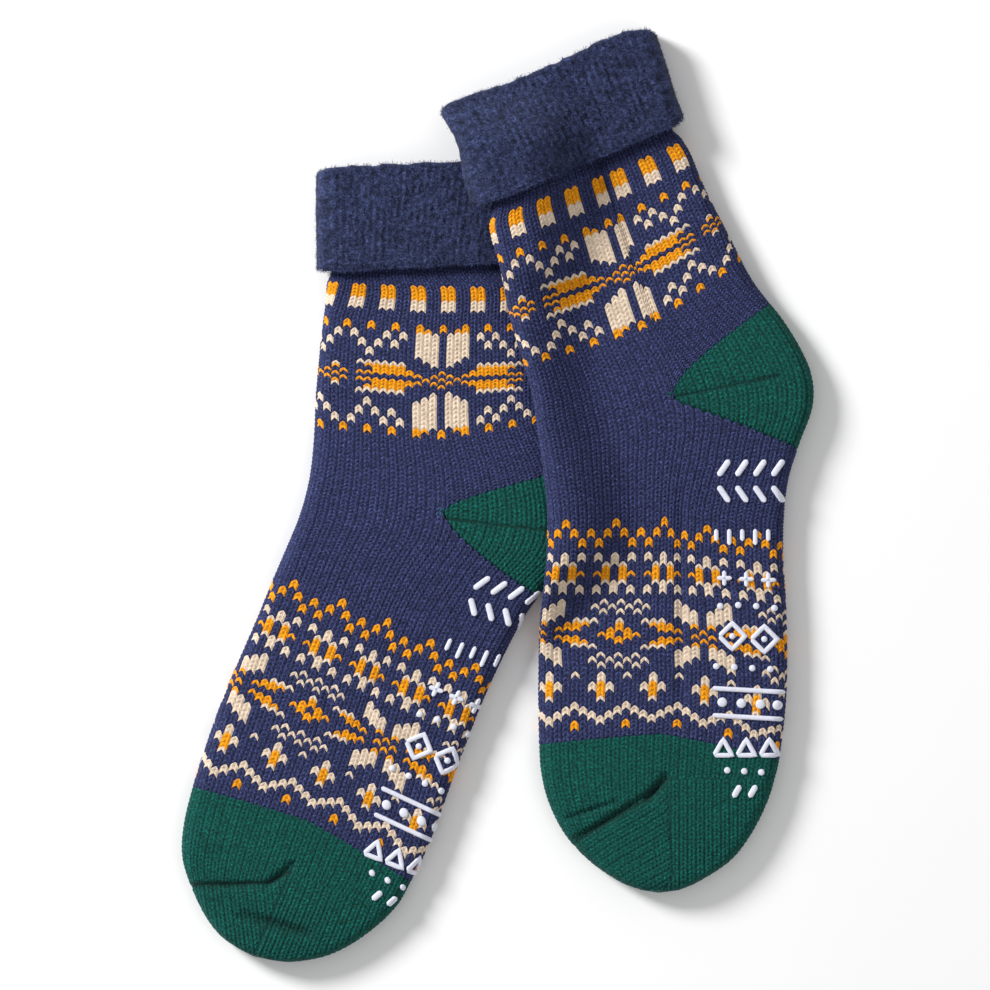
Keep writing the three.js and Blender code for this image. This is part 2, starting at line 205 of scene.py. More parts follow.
class Sock:
    """One sock: its sections, its rows of stitches and the lines of its pockets."""

    def __init__(self, name, rows, toe, lift, seed):
        self.name = name
        self.rows = rows
        self.toe = np.array(toe)
        self.lift = lift
        self.seed = seed
        self.last = len(rows) - 1
        self.t_table = np.linspace(0, self.last, 4001)
        v = curved(rows, self.t_table)
        middle = (v[:, 0:2] + v[:, 2:4]) / 2
        steps = np.hypot(*np.diff(middle, axis=0).T)
        self.s_table = np.concatenate([[0.0], np.cumsum(steps)])
        self.length = self.s_table[-1]
        self.creases = []

    def under_cuff(self):
        """The same sock with its instep edge kept out where the cuff hides it."""
        other = copy.copy(self)
        other.rows = self.rows.copy()
        other.rows[1, 0:2] = self.edge_under_cuff
        return other

    def t_at(self, s):
        beyond = np.maximum(0, s - self.length) / TOE_CAP
        return np.interp(s, self.s_table, self.t_table) + np.minimum(beyond, 1.0)

    def section(self, t):
        v = curved(self.rows, np.minimum(t, self.last))
        middle = (v[..., 0:2] + v[..., 2:4]) / 2
        along = v[..., 2:4] - v[..., 0:2]
        width = np.hypot(along[..., 0], along[..., 1])
        half = v[..., 5] / 2
        return middle, along / width[..., None], width / 2, half, np.maximum(0, v[..., 4]) + half

    def reach(self, t):
        """Half of the way round the sock's outside, from the middle of one layer to the other's."""
        _, _, half_width, half, _ = self.section(t)
        return half_width - half + math.pi / 2 * half

    def place(self, t, g, h):
        """Points at row t, place g round the tube and height h above the cloth's own surface."""
        t, g, h = np.broadcast_arrays(t, wrapped(g), h)
        middle, along, half_width, half, centre = self.section(t)
        flat = half_width - half
        top = np.abs(g) <= 1
        e = folded_place(g) * (flat + math.pi / 2 * half)
        over = np.clip(np.abs(e) - flat, 0, math.pi / 2 * half)
        angle = (math.pi / 2 - over / half) * np.where(top, 1, -1)
        radius = half + h
        across = np.clip(e, -flat, flat) + np.sign(e) * np.cos(angle) * radius
        xy = middle + along * across[..., None]
        up = np.sin(angle)
        crown = CROWN * np.maximum(0, up) * np.maximum(0, 1 - (across / half_width) ** 2)
        z = centre + up * radius + crown
        end = np.clip(t - self.last, 0, 1)[..., None]
        xy = xy + (self.toe - xy) * (1 - np.sqrt(1 - end ** 2))
        z = z + (centre - z) * (1 - np.sqrt(1 - end[..., 0] ** 2))
        z = z - self.crease_depth(xy[..., 0], xy[..., 1]) * np.maximum(0, up)
        z = np.maximum(z, LOWEST) + self.lift(xy[..., 0], xy[..., 1])
        return np.concatenate([xy, z[..., None]], axis=-1)

    def crease_depth(self, x, y):
        depth = np.zeros_like(x)
        for ax, ay, bx, by, width, deep in self.creases:
            dx, dy = bx - ax, by - ay
            length = math.hypot(dx, dy)
            along = ((x - ax) * dx + (y - ay) * dy) / length ** 2
            side = ((x - ax) * dy - (y - ay) * dx) / length
            ends = np.clip(4 * along * (1 - along), 0, 1) ** 0.5
            depth = depth + deep * ends * np.exp(-((side / (CREASE_SPREAD * width)) ** 2))
        return depth

    def unfolded(self, t, g):
        """The plan with the folded edges opened out flat."""
        middle, along, _, _, _ = self.section(t)
        return middle + along * (folded_place(g) * self.reach(t))[..., None]

    def inverse(self, points):
        """Row and place round the tube of points of the opened plan."""
        low = np.zeros(len(points))
        high = np.full(len(points), float(self.last))
        for _ in range(34):
            t = (low + high) / 2
            v = curved(self.rows, t)
            side = ((v[:, 2] - v[:, 0]) * (points[:, 1] - v[:, 1])
                    - (v[:, 3] - v[:, 1]) * (points[:, 0] - v[:, 0]))
            low = np.where(side < 0, t, low)
            high = np.where(side < 0, high, t)
        t = (low + high) / 2
        middle, along, _, _, _ = self.section(t)
        e = np.sum((points - middle) * along, axis=1)
        return t, e / self.reach(t)


right = Sock("right", RIGHT_ROWS, (67.5, -167.2), ride_over, 11)
left = Sock("left", LEFT_ROWS, (-103.0, -193.9), no_lift, 23)

right.cuff_corners = [(2.0, 0.85), (5.5, 0.74)]
left.cuff_corners = [(2.5, 0.85), (2.5, 0.85)]
right.cuff_lower = (5.5, 0.87)
left.cuff_lower = (5.0, 0.87)
right.cuff_hang = (3.4, 1.4)
left.cuff_hang = (1.8, 1.8)
right.cuff_flare = 7.0
left.cuff_flare = 0.0
right.cuff_rise = 3.4
left.cuff_rise = 0.6
right.edge_under_cuff = (-4.2, 124.0)
left.edge_under_cuff = (-72.0, 95.0)
right.leg_gathers = [(16.7, 19.3, 0.35, [-18, 0, 13, 27, 44], [1.45, 1.4, 1.2, 1.1, 0.0])]
right.foot_gathers = [(12.5, 21.0, 0.0, [-14, -2, 7, 14, 17, 22, 26, 33, 39],
                       [0.0, 1.1, 1.1, 0.95, 0.7, 0.45, 0.2, 0.1, 0.0])]
left.leg_gathers = []
left.foot_gathers = [(12.3, 18.8, 0.0, [-14, -2, 7, 14, 22, 26, 33, 43],
                      [0.0, 0.6, 0.6, 0.5, 0.5, 0.35, 0.2, 0.0])]

# Creases: two ends x and y, width, depth
right.creases = [
    (51.0, 121.0, 57.5, 92.0, 3.0, 0.7),
    (71.5, -116.5, 61.5, -128.5, 3.4, 2.0),
    (68.0, -122.5, 28.0, -147.0, 2.6, 2.0),
    (51.0, -128.0, 26.5, -136.5, 2.2, 1.3),
    (76.5, 4.0, 76.5, -100.0, 4.0, 1.3),
    (41.0, 133.0, 51.5, 119.0, 4.5, 0.8),
]
left.creases = [
    (-84.5, -153.5, -98.0, -164.5, 3.0, 1.9),
    (-96.0, -163.5, -133.0, -164.5, 3.2, 1.3),
    (-110.0, -175.5, -77.0, -184.5, 4.6, 1.9),
    (-46.5, -66.0, -63.0, -112.0, 4.5, 0.6),
    (-66.0, -70.0, -78.0, -104.0, 4.5, 0.5),
]

# Lines of the pockets: the station of the heel's mitre, the pixels of the toe's seam and mitre, which way
# the toe points, and whether the courses below the seam run across it
right.heel_mitre = 148.6
right.toe_seam = [(667, 778), (650, 797), (634, 807), (600, 826), (566, 849)]
right.toe_mitre = [(667, 778), (670, 830), (673, 875), (660, 895)]
right.toe_down = (0.0, -1.0)
right.toe_turned = True
left.heel_mitre = 150.5
left.toe_seam = [(291, 871), (270, 882), (192, 884), (176, 886)]
left.toe_mitre = [(291, 871), (272, 915), (252, 960)]
left.toe_down = (-0.38, -0.925)
left.toe_turned = False

# Courses. A leg row n and a foot row n: the station at the middle of the upper layer, how far the course
# runs from it at the instep edge and at the sole edge, the power of each curve, and the wales' shift.
ROW_COLUMNS = ["n", "middle", "instep", "instep_power", "sole", "sole_power",
               "shift", "instep_shift", "sole_shift"]
right.leg_rows = table([
    [-18, 35.4, 0.0, 1.6, 0.0, 1.6, 1.0, 0, 0],
    [-10, 49.8, 0.0, 1.6, -1.0, 1.6, 1.0, 0, 0],
    [-4, 60.6, -0.5, 1.6, -2.0, 1.6, 1.0, 0, 0],
    [0, 67.8, -3.0, 1.6, -3.5, 1.6, 0.9, 0, 0],
    [10, 86.6, -2.4, 1.6, -5.7, 1.6, 0.8, 0, 0],
    [13, 91.2, -2.0, 1.6, -6.5, 1.6, 0.75, 0, 0],
    [17, 97.0, -2.2, 1.6, -8.0, 1.45, 0.62, 0, 0],
    [27, 116.8, -3.0, 1.6, -12.5, 1.15, 0.2, 0.4, 0],
    [44, 148.4, 0.0, 1.2, -25.5, 0.5, 0.3, 0, 0],
])
right.foot_rows = table([
    [-25, 148.4, 0.0, 1.2, 28.6, 0.8, 0.3, 0, 0],
    [0, 198.3, -3.2, 1.2, 10.9, 0.72, 1.07, 0, 0],
    [2, 202.5, -3.0, 1.2, 9.5, 0.75, 1.07, 0, 0],
    [4, 206.7, -2.8, 1.2, 8.7, 0.77, 1.07, 0, 0],
    [7, 213.0, -2.5, 1.2, 8.0, 0.92, 1.07, 0, 0],
    [14, 226.8, -1.8, 1.2, 6.8, 1.28, 1.07, 0, 0],
    [17, 232.7, -1.4, 1.2, 6.2, 1.2, 1.0, 0.25, 0],
    [24, 247.0, -1.75, 1.2, 6.0, 1.3, 0.85, 0.25, 0],
    [30, 257.3, -1.5, 1.2, 7.5, 1.4, 0.83, 0.1, 0],
    [33, 263.5, -0.5, 1.2, 9.2, 1.5, 0.9, 0.2, 0],
    [39, 275.7, 0.9, 1.2, 10.7, 1.5, 0.8, 0.25, 0],
    [43, 283.0, 2.2, 1.2, 10.0, 1.5, 0.8, 0.25, 0],
    [47, 289.7, 5.9, 1.2, 10.7, 1.2, 0.8, 0.25, 0],
])
left.leg_rows = table([
    [-18, 37.2, -4.5, 1.0, 4.0, 1.0, 2.3, 0, 0],
    [-10, 51.6, -5.2, 1.0, 4.3, 1.0, 2.3, 0, 0],
    [0, 68.3, -7.6, 1.0, 2.5, 1.0, 2.0, -1.2, -0.5],
    [10, 86.6, -8.2, 1.0, 2.0, 1.0, 1.8, -0.85, -0.5],
    [13, 90.9, -8.4, 1.0, 1.8, 1.0, 1.75, -0.75, -0.5],
    [17, 96.8, -8.6, 1.0, 0.0, 1.0, 1.5, -0.35, -0.6],
    [27, 116.6, -9.3, 1.0, -5.5, 1.15, 0.8, 0.7, -0.8],
    [44, 147.0, 0.0, 1.0, -18.5, 0.6, 0.6, 0.3, 0],
])
left.foot_rows = table([
    [-25, 147.0, 0.0, 1.0, 30.8, 0.6, 0.6, 0.3, 0],
    [0, 197.5, -10.5, 1.0, 11.7, 1.0, 1.37, 0, 0],
    [4, 206.1, -8.9, 1.0, 8.8, 1.0, 1.37, 0, 0],
    [7, 212.4, -7.6, 1.0, 6.7, 1.0, 1.37, 0, 0],
    [15, 228.2, -5.6, 1.0, 5.4, 1.0, 1.5, 0, 0],
    [17, 232.5, -5.1, 1.0, 5.0, 1.0, 1.5, 0, 0],
    [21, 240.4, -4.1, 1.0, 4.0, 1.0, 1.64, 0, 0],
    [24, 245.8, -3.3, 1.0, 3.4, 1.0, 1.8, 0, 0],
    [30, 257.1, -1.2, 1.0, 5.0, 1.1, 1.88, 0, 0],
    [33, 262.8, 0.9, 1.2, 6.0, 1.2, 1.9, 0, 0],
    [39, 274.4, 3.0, 1.2, 5.0, 1.2, 1.8, 0, 0],
    [43, 281.6, 4.8, 1.2, 5.3, 1.2, 1.8, 0, 0],
    [47, 289.5, 6.0, 1.2, 7.5, 1.2, 1.8, 0, 0],
])


def row_value(rows, column, n):
    """A column of a row table at course n, running on straight past both ends."""
    i = ROW_COLUMNS.index(column)
    value = np.interp(n, rows[:, 0], rows[:, i])
    if column == "middle":
        first = (rows[1, i] - rows[0, i]) / (rows[1, 0] - rows[0, 0])
        last = (rows[-1, i] - rows[-2, i]) / (rows[-1, 0] - rows[-2, 0])
        value = value + first * np.minimum(0, n - rows[0, 0]) + last * np.maximum(0, n - rows[-1, 0])
    return value


def course_station(rows, n, g):
    """The station of course n at place g."""
    c = folded_place(g)
    out = np.abs(c)
    instep = row_value(rows, "instep", n) * out ** row_value(rows, "instep_power", n)
    sole = row_value(rows, "sole", n) * out ** row_value(rows, "sole_power", n)
    return row_value(rows, "middle", n) + np.where(c < 0, instep, sole)


def wale_place(rows, gathers, n, v):
    """The place round the tube of wale number v at course n. A gather is a crease that takes up wales from
    its first wale to its last, and lets a share of them go again towards the edge."""
    g = (v - TOP_WALE + row_value(rows, "shift", n)) / HALF_WALES
    c = folded_place(g)
    at_edge = np.where(c < 0, row_value(rows, "instep_shift", n), row_value(rows, "sole_shift", n))
    extra = at_edge * np.abs(c)
    for first, last, release, courses, wales in gathers:
        amount = np.interp(n, courses, wales)
        taken = smooth((v - first) / (last - first)) - release * smooth((v - last) / (HALF_WALES - 3))
        extra = extra - amount * taken * (np.abs((v + 14) % WALES - 14) < 36)
    return g + extra / HALF_WALES


# Charts: a coloured stitch is chart[row, wale].
def centred(w, period):
    return (w + period // 2) % period - period // 2


def leg_chart(n, wale):
    """The colour of a leg stitch. The pattern is symmetric about wale 16 and about row 13."""
    w = wale - TOP_WALE
    m = np.abs(centred(w, 30))
    r = np.where(n > 13, 26 - n, n)
    colour = np.full(np.broadcast(n, wale).shape, NAVY)

    def put(rows, wales, yarn):
        colour[np.isin(r, rows) & np.isin(m, wales)] = yarn

    peg = np.isin(w % 4, [0, 1])
    colour[peg & (n >= -10) & (n <= -7)] = ORANGE
    colour[peg & (n >= -6) & (n <= -4)] = CREAM
    put([0, 1], [0, 3, 6, 9, 12, 15], ORANGE)
    put([2, 3], [5, 7, 11, 13], CREAM)
    put([4, 5], [6, 8, 10, 14], CREAM)
    put([6, 7], [9, 15], CREAM)
    put(range(2, 10), [1], CREAM)
    put([1], [2], ORANGE)
    put(range(2, 9), [2], CREAM)
    put(range(2, 8), [3], CREAM)
    put([11, 13], [0], ORANGE)
    put([12], [1, 3], ORANGE)
    put([13], [2], ORANGE)
    put([11, 12], [4], ORANGE)
    put([9], [5, 6, 7, 8, 9, 10], CREAM)
    put([10, 11, 12], [5, 6, 7, 8], ORANGE)
    put([10, 12], [9], ORANGE)
    put([12], [10], ORANGE)
    put([10], [13], CREAM)
    put([11], [13], ORANGE)
    put([12], [12, 14], ORANGE)
    put([13], [13, 15], ORANGE)
    return colour


def foot_chart(n, wale):
    """The colour of a foot stitch: the band runs from row 0 to 44."""
    colour = np.full(np.broadcast(n, wale).shape, NAVY)

    def put(place, rows, places, yarn):
        colour[np.isin(n, rows) & np.isin(place, places)] = yarn

    ring = np.abs(centred(wale - 3, 6))
    put(ring, [0, 1], [0], ORANGE)
    put(ring, [2, 3], [1, 3], ORANGE)
    put(ring, [4, 5], [2], ORANGE)
    put(ring, [7, 8, 9, 13, 14, 15], [0], CREAM)
    put(ring, [7, 8, 14, 15], [2], CREAM)
    put(ring, [9, 13], [1], CREAM)
    put(ring, [10, 11, 12], [1], ORANGE)
    put(ring, [11], [2], ORANGE)

    centre_row = 24
    r = np.where(n > centre_row, 2 * centre_row - n, n)

    def mirrored(place, rows, places, yarn):
        colour[np.isin(r, rows) & (n >= 16) & (n <= 32) & np.isin(place, places)] = yarn

    diamond = np.abs(centred(wale - 10, 20))
    mirrored(diamond, [17, 19], [0, 2], CREAM)
    mirrored(diamond, [18], [1, 3], CREAM)
    put(diamond, [21], [0], CREAM)
    mirrored(diamond, [22, 23], [0], ORANGE)
    mirrored(diamond, [23, 24], [1], ORANGE)
    mirrored(diamond, [24], [2], ORANGE)
    star = np.abs(centred(wale, 20))
    mirrored(star, [19, 20, 21], [1], CREAM)
    mirrored(star, [22], [1], ORANGE)
    mirrored(star, [18, 19, 20, 21], [2], CREAM)
    mirrored(star, [17, 18, 19, 20], [3], CREAM)
    mirrored(star, [23], [0], ORANGE)
    mirrored(star, [24], [1], ORANGE)
    mirrored(star, [23], [3], ORANGE)
    mirrored(star, [22, 23], [4, 5], ORANGE)
    mirrored(star, [22], [6], ORANGE)
    mirrored(star, [21], [5, 6, 7], CREAM)

    peak = np.abs(centred(wale - 5, 6))
    put(peak, [33], [0], CREAM)
    cross = np.abs(centred(wale - 2, 6))
    put(cross, [33, 34, 38], [0], CREAM)
    put(cross, [35, 36, 37], [0], ORANGE)
    put(cross, [35, 36], [1], CREAM)
    for step in range(4):
        put(peak, [39 + step, 40 + step], [step], CREAM)
    put(peak, [43, 44], [0], ORANGE)
    return colour


# Relief of the knit: across a wale from its middle (0) to its edge (1), and along a course.
ACROSS_AT = [0.0, 1 / 3, 2 / 3, 1.0]
ACROSS = [0.35, 0.95, 0.9, 0.12]
ALONG_AT = [0.0, 0.25, 0.5, 0.75, 1.0]
ALONG = [0.0, 0.75, 1.0, 0.75, 0.0]


def stitch_relief(wale_part, course_part):
    """Relief from 0 to 1 at a place of a wale and of a course, both from 0 to 1."""
    x = np.abs(2 * wale_part - 1)
    across = np.interp(x, ACROSS_AT, ACROSS)
    along = np.interp(course_part % 1.0, ALONG_AT, ALONG)
    return across * (0.4 + 0.6 * along)


def chevron_fall(wale_part):
    """How far a stitch falls at a place of its wale, in courses."""
    return CHEVRON * np.abs(2 * wale_part - 1) ** CHEVRON_POWER


def relief_height(relief, g):
    """Height of the yarn over the cloth's own surface: shallow on the underside."""
    top = np.clip((SIDE_END - np.abs(wrapped(g))) / SIDE_BLEND, 0, 1)
    return top * (RELIEF_FLOOR + RELIEF * relief) + (1 - top) * (UNDER_FLOOR + UNDER_RELIEF * relief)


# Yarn colours, and the painted shade and light laid over them
def linear(r, g, b):
    s = np.array([r, g, b]) / 255.0
    return np.where(s <= 0.04045, s / 12.92, ((s + 0.055) / 1.055) ** 2.4)


YARN = np.array([linear(48, 54, 93), linear(232, 150, 14), linear(214, 194, 172), linear(3, 78, 69)])
HEATHER = np.array([1.0, 0.45, 0.25, 0.9])
# Painted shade: how dark each yarn is painted at the bottom of the valleys between strands.
VALLEY_SHADE = np.array([0.3, 0.58, 0.86, 0.28])
SHADE_GAIN = 1.25
HOLLOW_SHADE = 0.24  # painted shade: darkening for each millimetre of a crease in a pocket
# Ends of the pile's colour: low pile is painted darker as painted shade and its clumps lighter as painted
# light, with a random mottle between them.
PILE_DARK_AND_SHADED = linear(10, 14, 32)
PILE_LIGHT_AND_LIT = linear(55, 64, 102)
RUBBER = linear(222, 224, 238)


def hashed(a, b, seed):
    """A repeatable random number from 0 to 1 for each pair of whole numbers."""
    value = np.sin(a * 127.1 + b * 311.7 + seed * 74.7) * 43758.5453
    return value - np.floor(value)


def make_object(name, points, quads, colours=None, heather=1.0):
    """A mesh object from points in the tables' millimetres, with a colour and a share of heathering for
    each corner."""
    used = np.unique(quads)
    remap = np.zeros(len(points), int)
    remap[used] = np.arange(len(used))
    quads = remap[quads]
    vertices = (points[used] + PAIR_SHIFT) * MM
    sides = quads.shape[1]
    mesh = bpy.data.meshes.new(name)
    mesh.vertices.add(len(vertices))
    mesh.vertices.foreach_set("co", vertices.astype(np.float32).ravel())
    mesh.loops.add(quads.size)
    mesh.loops.foreach_set("vertex_index", quads.astype(np.int32).ravel())
    mesh.polygons.add(len(quads))
    mesh.polygons.foreach_set("loop_start", np.arange(0, quads.size, sides, dtype=np.int32))
    mesh.polygons.foreach_set("loop_total", np.full(len(quads), sides, np.int32))
    mesh.update(calc_edges=True)
    mesh.validate()
    mesh.polygons.foreach_set("use_smooth", np.ones(len(mesh.polygons), bool))
    if colours is not None:
        attribute = mesh.color_attributes.new("yarn", "FLOAT_COLOR", "CORNER")
        flat = np.ones((quads.size, 4), np.float32)
        flat[:, :3] = colours.reshape(-1, 3)
        flat[:, 3] = np.broadcast_to(np.asarray(heather).reshape(-1, 1), (len(quads), sides)).ravel()
        attribute.data.foreach_set("color", flat.ravel())
    piece = bpy.data.objects.new(name, mesh)
    bpy.context.scene.collection.objects.link(piece)
    return piece


def grid_quads(n_rows, n_columns, closed=False):
    """Quads of a grid of points, facing out where rows run down and columns run to the sole."""
    row = np.arange(n_rows - 1)[:, None]
    column = np.arange(n_columns if closed else n_columns - 1)[None, :]
    following = (column + 1) % n_columns
    a = row * n_columns + column
    b = (row + 1) * n_columns + column
    c = (row + 1) * n_columns + following
    d = row * n_columns + following
    return np.stack([a, b, c, d], axis=-1).reshape(-1, 4)


def joined(parts):
    """One array of points and one of quads from several pairs of them."""
    firsts = np.cumsum([0] + [len(points) for points, _ in parts])
    quads = [part_quads + first for (_, part_quads), first in zip(parts, firsts)]
    return np.vstack([points for points, _ in parts]), np.vstack(quads)


def shade(relief, yarn):
    """Painted shade: darkening towards the valleys between strands, where shade falls."""
    low = VALLEY_SHADE[yarn]
    return low + (1 - low) * np.clip(relief * SHADE_GAIN, 0, 1)


# The knitted tubes of leg and foot
def wale_columns(first, last, steps):
    return np.arange(first * steps, (last + 1) * steps + 1) / steps - 0.5


def knit_tube(sock, rows, gathers, first, last, chart, name):
    q = np.arange(first * SUB_ROWS, last * SUB_ROWS + 1) / SUB_ROWS
    fine = wale_columns(FINE_FROM, FINE_TO, FINE_STEPS)
    coarse = wale_columns(COARSE_FROM, COARSE_TO, COARSE_STEPS)
    parts, colours, heather = [], [], []
    for columns, rows_q in ((fine, q), (coarse, q[::SUB_ROWS])):
        grid_q, grid_v = np.meshgrid(rows_q, columns, indexing="ij")
        part = (grid_v + 0.5) % 1.0
        n = grid_q + chevron_fall(part)
        g = wale_place(rows, gathers, n, grid_v)
        s = course_station(rows, n, g)
        relief = stitch_relief(part, grid_q)
        wale = np.floor(grid_v + 0.5)
        uneven = STITCH_UNEVEN * (hashed(np.floor(grid_q), wale, sock.seed) - 0.5)
        height = relief_height(relief + uneven * (relief > 0.2), g)
        height = height - PINCH * smooth((PINCH_END - s) / PINCH_LENGTH)
        grid = sock.place(sock.t_at(s), g, height)
        faces = grid_quads(len(rows_q), len(columns))
        parts.append((grid.reshape(-1, 3), faces))
        middle_q, middle_v = (rows_q[:-1] + rows_q[1:]) / 2, (columns[:-1] + columns[1:]) / 2
        face_q, face_v = np.meshgrid(middle_q, middle_v, indexing="ij")
        course = np.floor(face_q).astype(int)
        wales = np.floor(face_v + 0.5).astype(int)
        yarn = chart(course, wales)
        if columns is fine:
            sub = np.floor((face_q % 1.0) * SUB_ROWS).astype(int)
            above = chart(course - 1, wales)
            below = chart(course + 1, wales)
            yarn = np.where((sub == 0) & (above == NAVY), NAVY, yarn)
            yarn = np.where((sub == SUB_ROWS - 1) & (below == NAVY) & (above != NAVY), NAVY, yarn)
        tone = STITCH_TONE[0] + STITCH_TONE[1] * hashed(course, wales, sock.seed + 5)
        colour = (YARN[yarn] * tone[..., None]).reshape(-1, 1, 3)
        # Painted shade: each corner is darkened towards the valleys between strands.
        depth = shade(relief.reshape(-1)[faces], yarn.reshape(-1, 1))
        colours.append(colour * depth[..., None])
        heather.append(HEATHER[yarn].ravel())
    return make_object(name, *joined(parts), np.vstack(colours), np.concatenate(heather))


# Pockets: the knit follows a field of wale and course numbers over a grid that is coarse underneath.
STITCH_WIDE = 3.5
STITCH_HIGH = 1.8
POCKET_STEP = 0.45
POCKET_SIDE = 1.12  # the place past the folded edge where the fine grid ends
COARSE_SHARE = 4  # rows of the fine grid to one of the coarse grid
HEEL_FROM, HEEL_TO = -0.03, 2.02  # places round the tube
HEEL_STEPS = (POCKET_STEP / 60.0, 0.04)
HEEL_TUCKS = (1.2, 2.6)  # how far the heel's cloth goes under the leg and the foot
HEEL_STITCH_HIGH = 1.7
MITRE_MARK = 0.7  # widths of the grooves along the mitres and the seam
TOE_SEAM_MARK = 0.8
TOE_MITRE_MARK = 0.6
TOE_COLUMNS = (249, 45)
TOE_TUCK = 1.0
SEAM_BLEND = 1.2


def pocket(sock, name, columns, rows, station_lines, field, dip):
    """A piece of cloth between two lines of stations, with fine and coarse columns round the tube."""
    parts, colours = [], []
    for places, n_rows in zip(columns, (rows, rows // COARSE_SHARE + 2)):
        share = np.linspace(0, 1, n_rows)[:, None]
        g = np.broadcast_to(places[None, :], (n_rows, len(places)))
        first, second = station_lines[0](g), station_lines[1](g)
        s = first + (second - first) * share
        t = sock.t_at(s)
        wale, course, mark = field(s, g, t)
        part = (wale + 0.5) % 1.0
        relief = stitch_relief(part, course - chevron_fall(part)) * (1 - mark)
        grid = sock.place(t, g, relief_height(relief, g) - dip(s, g))
        # Painted shade: the pocket's colour darkens with the depth of its creases.
        painted_crease_shade = 1 - HOLLOW_SHADE * np.clip(sock.crease_depth(grid[..., 0], grid[..., 1]), 0, 2)
        faces = grid_quads(n_rows, len(places))
        parts.append((grid.reshape(-1, 3), faces))
        chance = hashed(np.floor(course), np.floor(wale + 0.5), sock.seed + 9)
        tone = POCKET_TONE[0] + POCKET_TONE[1] * chance
        colour = YARN[GREEN] * (tone * painted_crease_shade * shade(relief, GREEN))[..., None]
        colours.append(colour.reshape(-1, 3)[faces])
    return make_object(name, *joined(parts), np.vstack(colours), HEATHER[GREEN])


def heel_piece(sock):
    """The heel: courses follow the leg above the mitre and the foot below it."""
    mitre = sock.heel_mitre

    def seams(g):
        """The place of the upper layer and the stations of the leg's end and the foot's start there."""
        c = np.abs(folded_place(g))
        return c, course_station(sock.leg_rows, LEG_END, c), course_station(sock.foot_rows, FOOT_START, c)

    def upper(g):
        return seams(g)[1] - HEEL_TUCKS[0]

    def lower(g):
        return seams(g)[2] + HEEL_TUCKS[1]

    def field(s, g, t):
        c, top, bottom = seams(g)
        wale = HALF_WALES * g + TOP_WALE
        course = np.where(s < mitre, (s - top) / HEEL_STITCH_HIGH, (s - bottom) / STITCH_HIGH + 40)
        mark = np.exp(-(((s - mitre) / MITRE_MARK) ** 2)) * (c < 0.75) * 0.85
        return wale, course, mark

    def dip(s, g):
        _, top, bottom = seams(g)
        inside = np.minimum(s - top - 0.6, bottom - 0.4 - s)
        return SEAM_TUCK * (1 - smooth(inside / SEAM_BLEND + 0.5)) + 0.5 * (inside < -0.8)

    fine = np.arange(HEEL_FROM, POCKET_SIDE, HEEL_STEPS[0])
    coarse = np.arange(fine[-1], HEEL_TO, HEEL_STEPS[1])
    rows = 2 + math.ceil(np.max(lower(fine) - upper(fine)) / POCKET_STEP)
    return pocket(sock, sock.name + "_heel_knit", (fine, coarse), rows, (upper, lower), field, dip)


def line_gap(xy, line):
    """Distance of points from a line."""
    best = np.full(xy.shape[:-1], np.inf)
    for a, b in zip(line[:-1], line[1:]):
        way = b - a
        f = np.clip(((xy - a) @ way) / (way @ way), 0, 1)
        best = np.minimum(best, np.hypot(*np.moveaxis(xy - a - f[..., None] * way, -1, 0)))
    return best


def side_of(xy, line, square):
    """Signed distance past a line, which runs on straight beyond its ends."""
    value = np.full(xy.shape[:-1], np.inf)
    result = np.zeros(xy.shape[:-1])
    for i, (a, b) in enumerate(zip(line[:-1], line[1:])):
        length = np.hypot(*(b - a))
        way = (b - a) / length
        normal = np.array([way[1], -way[0]])
        if normal @ square < 0:
            normal = -normal
        f = (xy - a) @ way
        low = -np.inf if i == 0 else 0
        high = np.inf if i == len(line) - 2 else length
        gap = np.abs(f - np.clip(f, low, high)) + np.abs((xy - a) @ normal)
        nearer = gap < value
        result = np.where(nearer, (xy - a) @ normal, result)
        value = np.where(nearer, gap, value)
    return result


